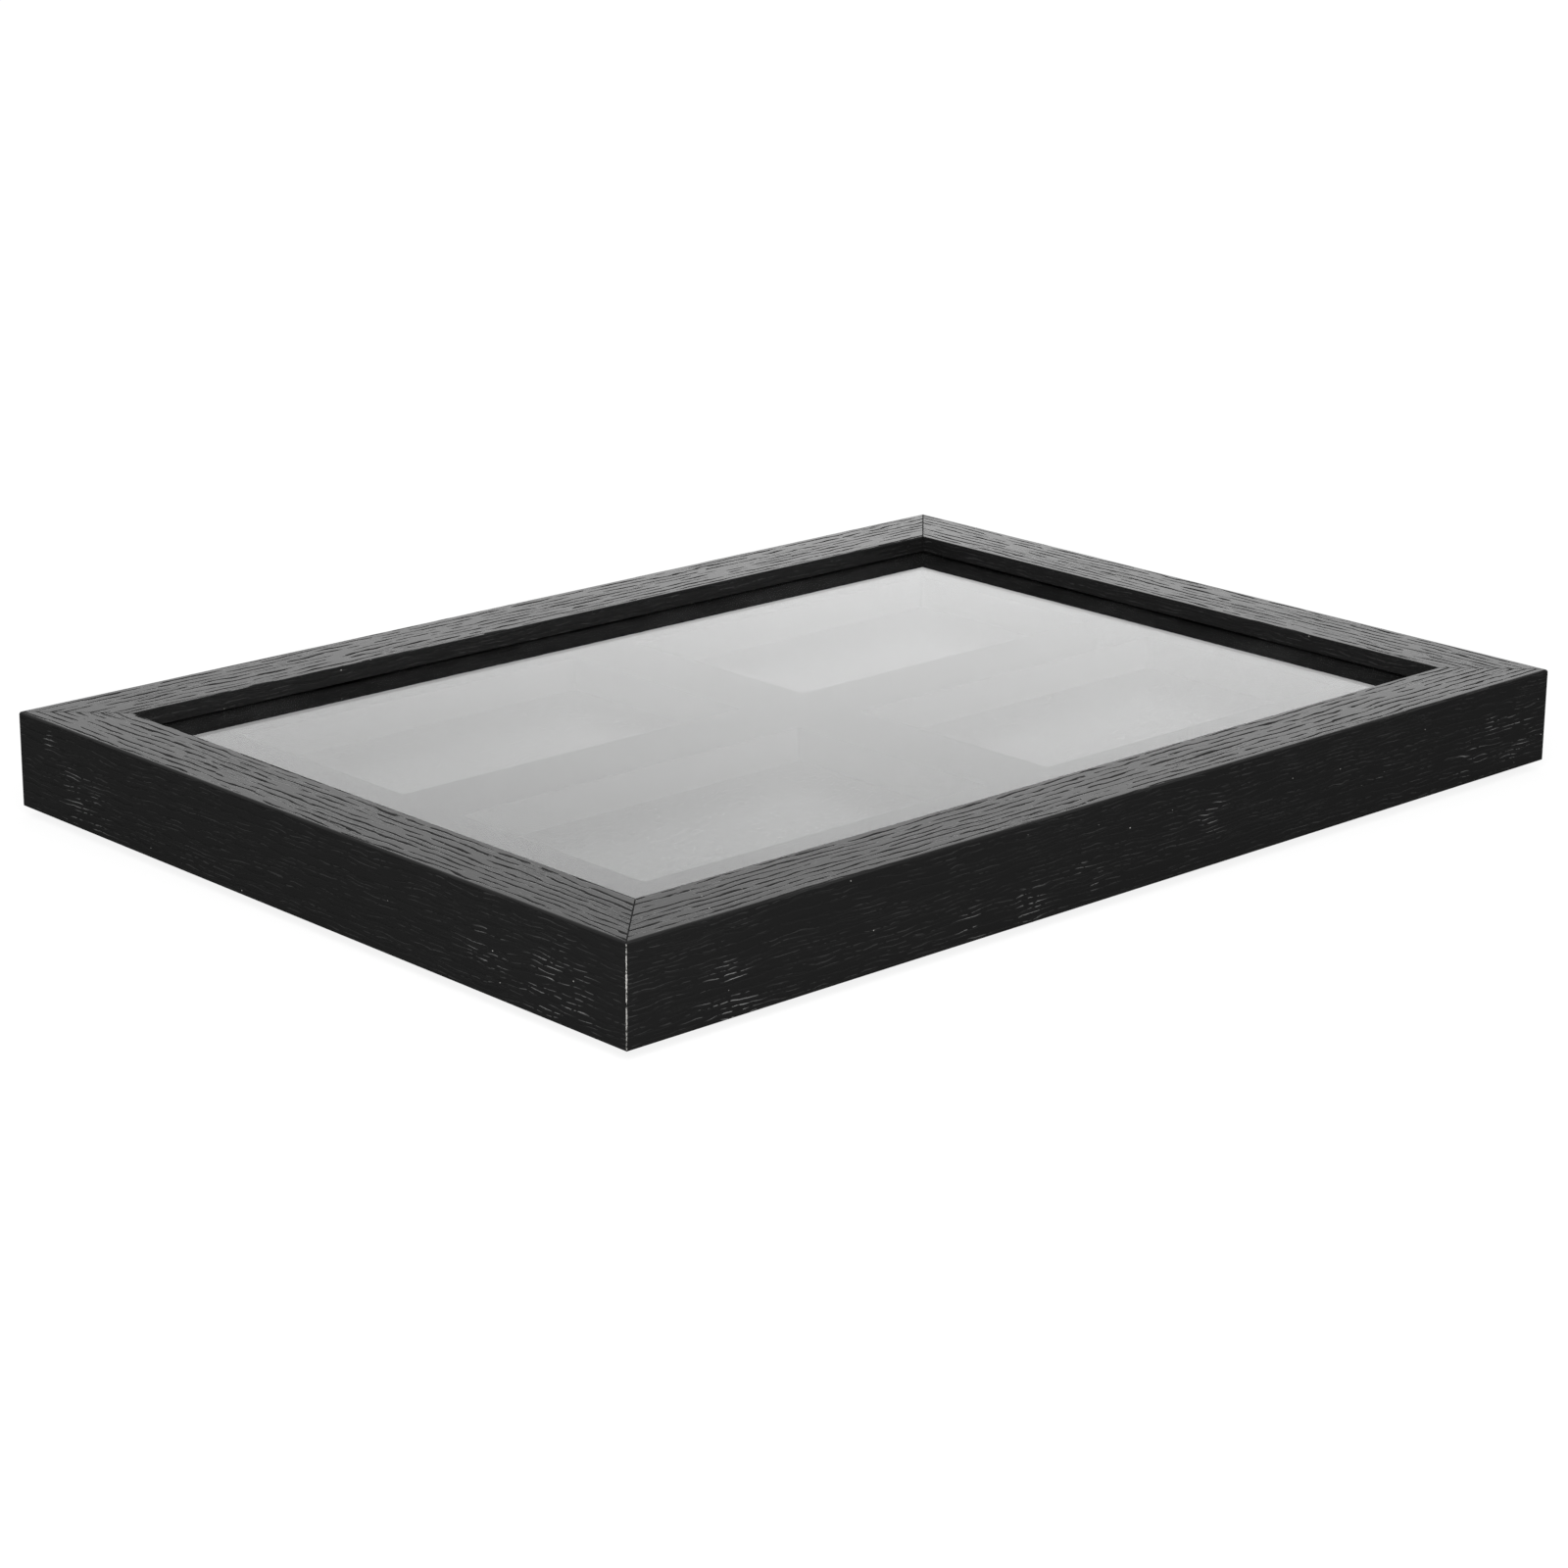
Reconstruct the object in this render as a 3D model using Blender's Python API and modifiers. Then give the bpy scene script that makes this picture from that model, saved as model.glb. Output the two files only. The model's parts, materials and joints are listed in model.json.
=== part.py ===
"""Shadow-box frame that displays four graded-card slabs, modelled piece by piece.

The frame lies on its back. +Z is the viewing side, +X runs along the long side and +Y is
the top when the frame hangs in landscape. The origin is the middle of the footprint, on
the surface that the bumpers stand on. All lengths are in metres.
"""

import math

import bmesh
import bpy
from mathutils import Matrix, Vector

# Pockets, two by two, each for a slab of 136.5 by 82.5 mm
POCKET_LENGTH = 0.139
POCKET_WIDTH = 0.0832
POCKET_SPACING = 0.028
POCKET_MARGIN = 0.024
POCKET_CORNER_RADIUS = 0.001

# Sheets in the rabbet, from the front to the back
ACRYLIC_THICKNESS = 0.002
POCKET_LAYER_THICKNESS = 0.012
LINER_THICKNESS = 0.0008
BASE_FOAM_THICKNESS = 0.0076
BOARD_THICKNESS = 0.003
SHEET_CORNER_RADIUS = 0.001

# Moulding of the four rails
RAIL_FACE = 0.026
LIP_THICKNESS = 0.0057
RABBET_WIDTH = 0.007
OUTER_EDGE_RADIUS = 0.0008
SIGHT_EDGE_RADIUS = 0.0006
REAR_EDGE_RADIUS = 0.0005
MITRE_GAP = 0.0003

# Gaps between pieces, and how far a cutter reaches past what it cuts
SEAT_GAP = 0.0003
SIDE_CLEARANCE = 0.00075
LINER_CLEARANCE = 0.0004
CUT_OVERRUN = 0.001

# Rubber bumpers that keep the metal fittings off the table
TABLE_CLEARANCE = 0.0005
BUMPER_RADIUS = 0.0045
BUMPER_FOOT_RADIUS = 0.0034
BUMPER_SETBACK = 0.001
BUMPER_PLACE_SHARE = 0.83

# Turn buttons, stamped from sheet steel with a pressed rib
BUTTON_THICKNESS = 0.0008
BUTTON_PIVOT_RADIUS = 0.0055
BUTTON_TIP_RADIUS = 0.0035
BUTTON_REACH = 0.015
BUTTON_SETBACK = 0.007
BUTTON_RIB_LENGTH = 0.009
BUTTON_RIB_WIDTH = 0.0026
BUTTON_RIB_HEIGHT = 0.0005
BUTTON_PLACE_SHARES = (-0.49, 0.49)

# Pan-head screws, the pivots of the turn buttons
SCREW_SHANK_RADIUS = 0.0015
SCREW_LENGTH = 0.012
SCREW_TIP_LENGTH = 0.0025
SCREW_HEAD_RADIUS = 0.00325
SCREW_HEAD_HEIGHT = 0.0013
SCREW_HEAD_RIM = 0.0004
RECESS_SPAN = 0.0034
RECESS_WIDTH = 0.0008
RECESS_DEPTH = 0.0007

# Corner nails, V-shaped strips driven across the mitres
CORNER_NAIL_LEG = 0.005
CORNER_NAIL_THICKNESS = 0.0006
CORNER_NAIL_HEIGHT = 0.010
CORNER_NAIL_SHARES = (0.42, 0.79)

# Sawtooth hangers
HANGER_LENGTH = 0.045
HANGER_WIDTH = 0.0095
HANGER_THICKNESS = 0.0008
HANGER_FOOT = 0.008
HANGER_RAMP = 0.0015
HANGER_JOGGLE = 0.0012
HANGER_CORNER_RADIUS = 0.0015
HANGER_TOOTH_COUNT = 9
HANGER_TOOTH_DEPTH = 0.0016

# Nails of the hangers
NAIL_SHANK_RADIUS = 0.0006
NAIL_LENGTH = 0.011
NAIL_TIP_LENGTH = 0.0016
NAIL_HEAD_RADIUS = 0.0016
NAIL_HEAD_HEIGHT = 0.0006
NAIL_HEAD_RIM = 0.0002

# How finely the round forms are divided
EDGE_ARC_STEPS = 4
CORNER_ARC_STEPS = 3
BLADE_ARC_STEPS = 14
TIP_ARC_STEPS = 8
HOLE_STEPS = 16
HEAD_ARC_STEPS = 4
TURN_STEPS = 16
BUMPER_TURN_STEPS = 24
RIB_SEGMENTS = 12
RIB_RINGS = 6
WELD_DISTANCE = 0.000002
SHARP_ANGLE = math.radians(35)

# The screw heads are what the bumpers keep off the table
REAR_FACE = TABLE_CLEARANCE + SCREW_HEAD_HEIGHT + BUTTON_THICKNESS + 2 * SEAT_GAP
BUMPER_HEIGHT = REAR_FACE - SEAT_GAP

# Undersides of the sheets above the table, and the rabbet that holds them all
BASE_FOAM_BOTTOM = REAR_FACE + BOARD_THICKNESS + SEAT_GAP
POCKET_LAYER_BOTTOM = BASE_FOAM_BOTTOM + BASE_FOAM_THICKNESS + SEAT_GAP
ACRYLIC_BOTTOM = POCKET_LAYER_BOTTOM + POCKET_LAYER_THICKNESS + SEAT_GAP
RABBET_DEPTH = ACRYLIC_BOTTOM + ACRYLIC_THICKNESS + SEAT_GAP - REAR_FACE
RAIL_HEIGHT = RABBET_DEPTH + LIP_THICKNESS

# Outside of the frame, and the flat that the rabbet leaves on each rail's rear face
FRAME_LENGTH = 2 * (POCKET_LENGTH + POCKET_MARGIN + RAIL_FACE) + POCKET_SPACING
FRAME_WIDTH = 2 * (POCKET_WIDTH + POCKET_MARGIN + RAIL_FACE) + POCKET_SPACING
REAR_FLAT = RAIL_FACE - RABBET_WIDTH

# Size of the sheets that drop into the rabbet
SHEET_LENGTH = FRAME_LENGTH - 2 * (REAR_FLAT + SIDE_CLEARANCE)
SHEET_WIDTH = FRAME_WIDTH - 2 * (REAR_FLAT + SIDE_CLEARANCE)

# Rails in the order of their quarter turns, counter-clockwise from the bottom one
RAIL_NAMES = ("bottom_rail", "right_rail", "top_rail", "left_rail")
HANGER_RAILS = ("top_rail", "right_rail")


def srgb_to_linear(value):
    """One channel of a screen colour, 0 to 1, as linear light."""
    if value <= 0.04045:
        return value / 12.92
    return ((value + 0.055) / 1.055) ** 2.4


def make_material(name, hex_colour, roughness, metallic=0.0, alpha=1.0):
    """Principled material from a hex colour."""
    material = bpy.data.materials.new(name)
    material.use_nodes = True
    shader = material.node_tree.nodes["Principled BSDF"]
    channels = [int(hex_colour[start:start + 2], 16) / 255 for start in (1, 3, 5)]
    colour = [srgb_to_linear(channel) for channel in channels]
    shader.inputs["Base Color"].default_value = (*colour, 1.0)
    shader.inputs["Roughness"].default_value = roughness
    shader.inputs["Metallic"].default_value = metallic
    shader.inputs["Alpha"].default_value = alpha
    return material


def clear_scene():
    """Remove whatever the open file holds, so that only the frame is left."""
    for item in list(bpy.data.objects):
        bpy.data.objects.remove(item, do_unlink=True)


def new_collection(name):
    """Collection linked to the scene."""
    collection = bpy.data.collections.new(name)
    bpy.context.scene.collection.children.link(collection)
    return collection


def place_part(name, data, material, location=(0, 0, 0), turn=0.0):
    """Sub-part from a mesh or curve, turned about +Z and set down at its place."""
    part = bpy.data.objects.new(name, data)
    part.location = location
    part.rotation_euler.z = turn
    data.materials.clear()
    data.materials.append(material)
    PARTS.objects.link(part)
    return part


def cut_with(part, cutter_mesh, name, location, turn=0.0):
    """Cut a part with a cutter object that stays in the cutters' collection."""
    cutter = bpy.data.objects.new(name, cutter_mesh)
    cutter.location = location
    cutter.rotation_euler.z = turn
    cutter.hide_render = True
    cutter.display_type = "WIRE"
    CUTTERS.objects.link(cutter)
    cut = part.modifiers.new(name, "BOOLEAN")
    cut.operation = "DIFFERENCE"
    cut.solver = "EXACT"
    cut.object = cutter


def arc(centre, radius, start, end, steps):
    """Points along an arc, both ends included, angles in radians."""
    points = []
    for step in range(steps + 1):
        angle = start + (end - start) * step / steps
        x = centre[0] + radius * math.cos(angle)
        y = centre[1] + radius * math.sin(angle)
        points.append((x, y))
    return points


def circle(radius, steps):
    """Points of a full circle round the origin."""
    return arc((0, 0), radius, 0, math.tau, steps)[:-1]


def rounded_rectangle(length, width, radius, centre=(0, 0), steps=CORNER_ARC_STEPS):
    """Counter-clockwise outline of a rectangle with round corners."""
    points = []
    corner_signs = ((1, 1), (-1, 1), (-1, -1), (1, -1))
    for quarter, (sign_x, sign_y) in enumerate(corner_signs):
        x = centre[0] + sign_x * (length / 2 - radius)
        y = centre[1] + sign_y * (width / 2 - radius)
        start = quarter * math.pi / 2
        points += arc((x, y), radius, start, start + math.pi / 2, steps)
    return points


def outline_curve(name, outlines, thickness):
    """Flat plate from closed outlines, the first one outside and the rest holes in it."""
    curve = bpy.data.curves.new(name, "CURVE")
    curve.dimensions = "2D"
    curve.fill_mode = "BOTH"
    curve.extrude = thickness / 2
    curve.render_resolution_u = 0
    for outline in outlines:
        spline = curve.splines.new("POLY")
        spline.points.add(len(outline) - 1)
        for point, (x, y) in zip(spline.points, outline):
            point.co = (x, y, 0, 1)
        spline.use_cyclic_u = True
    return curve


def evaluated_mesh(shape):
    """Mesh of a curve or of an object with modifiers, welded; the object is removed."""
    bpy.context.view_layer.update()
    depsgraph = bpy.context.evaluated_depsgraph_get()
    mesh = bpy.data.meshes.new_from_object(shape.evaluated_get(depsgraph))
    mesh.name = shape.name
    bm = bmesh.new()
    bm.from_mesh(mesh)
    bmesh.ops.remove_doubles(bm, verts=bm.verts, dist=WELD_DISTANCE)
    bmesh.ops.recalc_face_normals(bm, faces=bm.faces)
    bm.to_mesh(mesh)
    bm.free()
    bpy.data.objects.remove(shape, do_unlink=True)
    return mesh


def outline_mesh(name, outlines, thickness, bottom=0.0):
    """Plate as a mesh that Boolean modifiers can use, standing on the given height."""
    curve = outline_curve(name, outlines, thickness)
    shape = bpy.data.objects.new(name, curve)
    CUTTERS.objects.link(shape)
    mesh = evaluated_mesh(shape)
    mesh.transform(Matrix.Translation((0, 0, bottom + thickness / 2)))
    return mesh


def turned_shape(name, profile, steps):
    """Object turned round +Z from a profile at +X that runs from top to bottom."""
    mesh = bpy.data.meshes.new(name)
    points = [(x, 0, z) for x, z in profile]
    edges = [(index, index + 1) for index in range(len(points) - 1)]
    mesh.from_pydata(points, edges, [])
    shape = bpy.data.objects.new(name, mesh)
    CUTTERS.objects.link(shape)
    lathe = shape.modifiers.new("lathe", "SCREW")
    lathe.axis = "Z"
    lathe.angle = math.tau
    lathe.steps = steps
    lathe.render_steps = steps
    lathe.use_merge_vertices = True
    lathe.merge_threshold = WELD_DISTANCE
    return shape


def turned_mesh(name, profile, steps):
    """Turned mesh, shaded smooth but for its sharp edges."""
    mesh = evaluated_mesh(turned_shape(name, profile, steps))
    mesh.shade_smooth()
    mesh.set_sharp_from_angle(angle=SHARP_ANGLE)
    return mesh


def rail_profile():
    """Section of the moulding: x inwards from the outer face, y up from the rear face."""
    quarter = math.pi / 2
    rear = REAR_EDGE_RADIUS
    sight = SIGHT_EDGE_RADIUS
    outer = OUTER_EDGE_RADIUS
    points = arc((rear, rear), rear, 2 * quarter, 3 * quarter, EDGE_ARC_STEPS)
    points.append((REAR_FLAT, 0))
    points.append((REAR_FLAT, RABBET_DEPTH))
    points.append((RAIL_FACE, RABBET_DEPTH))
    points += arc((RAIL_FACE - sight, RAIL_HEIGHT - sight), sight, 0, quarter, EDGE_ARC_STEPS)
    points += arc((outer, RAIL_HEIGHT - outer), outer, quarter, 2 * quarter, EDGE_ARC_STEPS)
    return points


def rail_mesh(name, length):
    """Rail along X with its outer face at y = 0, sheared at both ends into the mitres."""
    mesh = outline_mesh(name, [rail_profile()], length, -length / 2)
    along_x = Matrix(((0, 0, 1, 0), (1, 0, 0, 0), (0, 1, 0, 0), (0, 0, 0, 1)))
    mesh.transform(along_x)
    setback = MITRE_GAP / math.sqrt(2)
    for vertex in mesh.vertices:
        half_length = length / 2 - vertex.co.y - setback
        vertex.co.x = math.copysign(half_length, vertex.co.x)
    mesh.shade_smooth()
    mesh.set_sharp_from_angle(angle=SHARP_ANGLE)
    return mesh


def rail_length(quarter):
    """Outer length of the rail that is this many quarter turns from the bottom one."""
    return FRAME_WIDTH if quarter % 2 else FRAME_LENGTH


def rail_point(quarter, along, inset, height):
    """Place on a rail: along it from its middle, and inwards from its outer face."""
    half_depth = (FRAME_LENGTH if quarter % 2 else FRAME_WIDTH) / 2
    turn = Matrix.Rotation(quarter * math.pi / 2, 3, "Z")
    return turn @ Vector((along, inset - half_depth, height))


def corner_point(quarter, inset, height):
    """Place on a mitre line, counted from the corner at the left end of that rail."""
    return rail_point(quarter, inset - rail_length(quarter) / 2, inset, height)


def button_places():
    """Quarter turn and place of every turn button's pivot on the rear face."""
    places = []
    for quarter in range(len(RAIL_NAMES)):
        for share in BUTTON_PLACE_SHARES:
            along = share * rail_length(quarter) / 2
            point = rail_point(quarter, along, REAR_FLAT - BUTTON_SETBACK, REAR_FACE)
            places.append((quarter, point))
    return places


def corner_nail_places():
    """Corner and place of every corner nail, its apex on the mitre line."""
    places = []
    for quarter in range(len(RAIL_NAMES)):
        for share in CORNER_NAIL_SHARES:
            point = corner_point(quarter, share * REAR_FLAT, REAR_FACE + SEAT_GAP)
            places.append((quarter, point))
    return places


def hanger_nail_places():
    """Quarter turn and place of the nails, one in each foot of each hanger."""
    places = []
    nail_along = HANGER_LENGTH / 2 - HANGER_FOOT / 2
    for rail in HANGER_RAILS:
        quarter = RAIL_NAMES.index(rail)
        for side in (-1, 1):
            point = rail_point(quarter, side * nail_along, REAR_FLAT / 2, REAR_FACE)
            places.append((quarter, point))
    return places


def corner_nail_outline(growth=0.0):
    """Two legs at a right angle, the apex at the origin, grown on every side for a slot."""
    half = CORNER_NAIL_THICKNESS / 2 + growth
    leg = CORNER_NAIL_LEG + growth
    return [(-leg, half), (-leg, -half), (-half, -half), (-half, -leg), (half, -leg), (half, half)]


def blind_hole_mesh(name, radius, depth):
    """Cutter for a round hole that opens in a rear face at z = 0."""
    outline = circle(radius, HOLE_STEPS)
    return outline_mesh(name, [outline], depth + CUT_OVERRUN, -CUT_OVERRUN)


def add_rails(oak):
    """Four mitred rails with their screw holes, nail holes and corner nail slots."""
    rails = []
    for quarter, name in enumerate(RAIL_NAMES):
        mesh = rail_mesh(name, rail_length(quarter))
        place = rail_point(quarter, 0, 0, REAR_FACE)
        rails.append(place_part(name, mesh, oak, place, quarter * math.pi / 2))

    shank_above_face = SCREW_LENGTH - BUTTON_THICKNESS - 2 * SEAT_GAP
    screw_hole = blind_hole_mesh(
        "screw_hole", SCREW_SHANK_RADIUS + SEAT_GAP, shank_above_face + SEAT_GAP)
    for number, (quarter, point) in enumerate(button_places(), 1):
        cut_with(rails[quarter], screw_hole, f"screw_hole_{number}", point)

    nail_above_face = NAIL_LENGTH - HANGER_THICKNESS - 2 * SEAT_GAP
    nail_hole = blind_hole_mesh("nail_hole", NAIL_SHANK_RADIUS + SEAT_GAP, nail_above_face + SEAT_GAP)
    for number, (quarter, point) in enumerate(hanger_nail_places(), 1):
        cut_with(rails[quarter], nail_hole, f"nail_hole_{number}", point)

    slot_height = CORNER_NAIL_HEIGHT + 2 * SEAT_GAP + CUT_OVERRUN
    slot = outline_mesh("corner_slot", [corner_nail_outline(SEAT_GAP)], slot_height,
                        -SEAT_GAP - CUT_OVERRUN)
    for number, (quarter, point) in enumerate(corner_nail_places(), 1):
        for rail in (rails[quarter], rails[quarter - 1]):
            cut_with(rail, slot, f"{rail.name}_slot_{number}", point, quarter * math.pi / 2)


def add_sheets(acrylic, foam, fibreboard):
    """The sheets that fill the rabbet: acrylic, two foam layers and the back board."""
    blank = rounded_rectangle(SHEET_LENGTH, SHEET_WIDTH, SHEET_CORNER_RADIUS)
    pockets = [
        rounded_rectangle(POCKET_LENGTH, POCKET_WIDTH, POCKET_CORNER_RADIUS, centre)
        for _, centre in pocket_centres()
    ]
    sheets = (
        ("acrylic_panel", [blank], ACRYLIC_BOTTOM, ACRYLIC_THICKNESS, acrylic),
        ("foam_pocket_layer", [blank, *pockets], POCKET_LAYER_BOTTOM, POCKET_LAYER_THICKNESS, foam),
        ("foam_base_layer", [blank], BASE_FOAM_BOTTOM, BASE_FOAM_THICKNESS, foam),
        ("back_board", [blank], REAR_FACE, BOARD_THICKNESS, fibreboard),
    )
    for name, outlines, bottom, thickness, material in sheets:
        curve = outline_curve(name, outlines, thickness)
        sheet = place_part(name, curve, material, (0, 0, bottom + thickness / 2))
        weld = sheet.modifiers.new("weld", "WELD")
        weld.merge_threshold = WELD_DISTANCE


def pocket_centres():
    """Name and centre of each pocket, named as the frame hangs in landscape."""
    step_x = (POCKET_LENGTH + POCKET_SPACING) / 2
    step_y = (POCKET_WIDTH + POCKET_SPACING) / 2
    return [
        ("top_left", (-step_x, step_y)),
        ("top_right", (step_x, step_y)),
        ("bottom_left", (-step_x, -step_y)),
        ("bottom_right", (step_x, -step_y)),
    ]


def add_pocket_liners(card):
    """Smooth liner on the floor of each pocket, which the slab lies on."""
    outline = rounded_rectangle(
        POCKET_LENGTH - 2 * LINER_CLEARANCE,
        POCKET_WIDTH - 2 * LINER_CLEARANCE,
        POCKET_CORNER_RADIUS)
    mesh = outline_mesh("pocket_liner", [outline], LINER_THICKNESS)
    for name, (x, y) in pocket_centres():
        place_part(f"pocket_liner_{name}", mesh, card, (x, y, POCKET_LAYER_BOTTOM))


def blade_outline():
    """Outline of a turn button: two rounds joined by the straight lines that touch both."""
    touch = math.acos((BUTTON_PIVOT_RADIUS - BUTTON_TIP_RADIUS) / BUTTON_REACH)
    points = arc((0, 0), BUTTON_PIVOT_RADIUS, touch, math.tau - touch, BLADE_ARC_STEPS)
    points += arc((BUTTON_REACH, 0), BUTTON_TIP_RADIUS, -touch, touch, TIP_ARC_STEPS)
    return points


def rib_object(name, length, width, height, centre):
    """Long half-buried ellipsoid for the rib and for the groove behind it."""
    bm = bmesh.new()
    bmesh.ops.create_uvsphere(bm, u_segments=RIB_SEGMENTS, v_segments=RIB_RINGS, radius=1)
    stretch = Matrix.Diagonal((length / 2, width / 2, height, 1))
    bmesh.ops.transform(bm, matrix=Matrix.Translation(centre) @ stretch, verts=bm.verts)
    mesh = bpy.data.meshes.new(name)
    bm.to_mesh(mesh)
    bm.free()
    rib = bpy.data.objects.new(name, mesh)
    CUTTERS.objects.link(rib)
    return rib


def turn_button_mesh():
    """Blade with its pivot hole, the rib pressed down from it and the groove that leaves."""
    outlines = [blade_outline(), circle(SCREW_SHANK_RADIUS + SEAT_GAP, HOLE_STEPS)]
    blade_mesh = outline_mesh("turn_button", outlines, BUTTON_THICKNESS, -BUTTON_THICKNESS)
    blade = bpy.data.objects.new("turn_button", blade_mesh)
    CUTTERS.objects.link(blade)

    rib_start = BUTTON_PIVOT_RADIUS + BUTTON_TIP_RADIUS / 2
    rib_centre = min(rib_start + BUTTON_RIB_LENGTH / 2, BUTTON_REACH)
    rib = rib_object("rib", BUTTON_RIB_LENGTH, BUTTON_RIB_WIDTH, BUTTON_RIB_HEIGHT,
                     (rib_centre, 0, -BUTTON_THICKNESS))
    groove = rib_object("groove", BUTTON_RIB_LENGTH - BUTTON_THICKNESS,
                        BUTTON_RIB_WIDTH - BUTTON_THICKNESS, BUTTON_RIB_HEIGHT,
                        (rib_centre, 0, 0))
    for tool, operation in ((rib, "UNION"), (groove, "DIFFERENCE")):
        press = blade.modifiers.new(tool.name, "BOOLEAN")
        press.operation = operation
        press.solver = "EXACT"
        press.object = tool
    mesh = evaluated_mesh(blade)
    for tool in (rib, groove):
        bpy.data.objects.remove(tool, do_unlink=True)
    mesh.shade_smooth()
    mesh.set_sharp_from_angle(angle=SHARP_ANGLE)
    return mesh


def add_turn_buttons(steel):
    """Turn buttons at rest, each blade pointing inwards over the back board."""
    mesh = turn_button_mesh()
    for number, (quarter, point) in enumerate(button_places(), 1):
        place = point - Vector((0, 0, SEAT_GAP))
        inwards = (quarter + 1) * math.pi / 2
        place_part(f"turn_button_{number}", mesh, steel, place, inwards)


def headed_profile(shank, length, tip, head, head_height, rim):
    """Half section of a screw or nail, its head's underside at z = 0 and the head below."""
    rise = head_height - rim
    dome_radius = (head ** 2 + rise ** 2) / (2 * rise)
    dome_centre = (0, dome_radius - head_height)
    spread = math.asin(head / dome_radius)
    down = -math.pi / 2
    dome = arc(dome_centre, dome_radius, down + spread, down, HEAD_ARC_STEPS)
    return [(0, length), (shank, length - tip), (shank, 0), (head, 0), *dome[:-1], (0, -head_height)]


def cross_outline(span, width):
    """Plus sign for the driver recess."""
    arm = span / 2
    half = width / 2
    points = []
    for quarter in range(4):
        turn = Matrix.Rotation(quarter * math.pi / 2, 2)
        for corner in ((arm, -half), (arm, half), (half, half)):
            points.append(tuple(turn @ Vector(corner)))
    return points


def screw_mesh():
    """Pan-head screw with a cross recess in its head."""
    profile = headed_profile(SCREW_SHANK_RADIUS, SCREW_LENGTH, SCREW_TIP_LENGTH,
                             SCREW_HEAD_RADIUS, SCREW_HEAD_HEIGHT, SCREW_HEAD_RIM)
    screw = turned_shape("turn_button_screw", profile, TURN_STEPS)
    recess_mesh = outline_mesh("recess", [cross_outline(RECESS_SPAN, RECESS_WIDTH)],
                               RECESS_DEPTH + CUT_OVERRUN, -SCREW_HEAD_HEIGHT - CUT_OVERRUN)
    recess = bpy.data.objects.new("recess", recess_mesh)
    CUTTERS.objects.link(recess)
    cut = screw.modifiers.new("recess", "BOOLEAN")
    cut.operation = "DIFFERENCE"
    cut.solver = "EXACT"
    cut.object = recess
    mesh = evaluated_mesh(screw)
    bpy.data.objects.remove(recess, do_unlink=True)
    mesh.shade_smooth()
    mesh.set_sharp_from_angle(angle=SHARP_ANGLE)
    return mesh


def add_screws(steel):
    """One screw through each turn button, with running gaps above and below the blade."""
    mesh = screw_mesh()
    head_drop = Vector((0, 0, BUTTON_THICKNESS + 2 * SEAT_GAP))
    for number, (_, point) in enumerate(button_places(), 1):
        place_part(f"turn_button_screw_{number}", mesh, steel, point - head_drop)


def add_corner_nails(steel):
    """Corner nails, sunk a little below the rear faces."""
    mesh = outline_mesh("corner_nail", [corner_nail_outline()], CORNER_NAIL_HEIGHT)
    for number, (quarter, point) in enumerate(corner_nail_places(), 1):
        place_part(f"corner_nail_{number}", mesh, steel, point, quarter * math.pi / 2)


def hanger_outline():
    """Blank of a sawtooth hanger: round corners, and teeth between the two feet."""
    radius = HANGER_CORNER_RADIUS
    far_x = HANGER_LENGTH / 2 - radius
    far_y = HANGER_WIDTH / 2 - radius
    quarter = math.pi / 2
    points = arc((far_x, -far_y), radius, -quarter, 0, CORNER_ARC_STEPS)
    points += arc((far_x, far_y), radius, 0, quarter, CORNER_ARC_STEPS)
    points += arc((-far_x, far_y), radius, quarter, 2 * quarter, CORNER_ARC_STEPS)
    points += arc((-far_x, -far_y), radius, 2 * quarter, 3 * quarter, CORNER_ARC_STEPS)
    bridge = HANGER_LENGTH - 2 * (HANGER_FOOT + HANGER_RAMP)
    pitch = bridge / HANGER_TOOTH_COUNT
    for tooth in range(HANGER_TOOTH_COUNT):
        start = tooth * pitch - bridge / 2
        points.append((start, -HANGER_WIDTH / 2))
        points.append((start + pitch / 2, HANGER_TOOTH_DEPTH - HANGER_WIDTH / 2))
    points.append((bridge / 2, -HANGER_WIDTH / 2))
    return points


def hanger_mesh():
    """Sawtooth hanger: the pierced blank, creased along four lines and pressed into a bridge."""
    nail_x = HANGER_LENGTH / 2 - HANGER_FOOT / 2
    hole = circle(NAIL_SHANK_RADIUS + SEAT_GAP, HOLE_STEPS)
    holes = [[(x + side * nail_x, y) for x, y in hole] for side in (-1, 1)]
    mesh = outline_mesh("hanger", [hanger_outline(), *holes], HANGER_THICKNESS, -HANGER_THICKNESS)
    ramp_foot = HANGER_LENGTH / 2 - HANGER_FOOT
    ramp_top = ramp_foot - HANGER_RAMP
    bm = bmesh.new()
    bm.from_mesh(mesh)
    for crease in (-ramp_foot, -ramp_top, ramp_top, ramp_foot):
        everything = bm.verts[:] + bm.edges[:] + bm.faces[:]
        bmesh.ops.bisect_plane(bm, geom=everything, dist=WELD_DISTANCE,
                               plane_co=(crease, 0, 0), plane_no=(1, 0, 0))
    for vertex in bm.verts:
        if abs(vertex.co.x) < ramp_top + WELD_DISTANCE:
            vertex.co.z -= HANGER_JOGGLE
    bm.to_mesh(mesh)
    bm.free()
    return mesh


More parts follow.
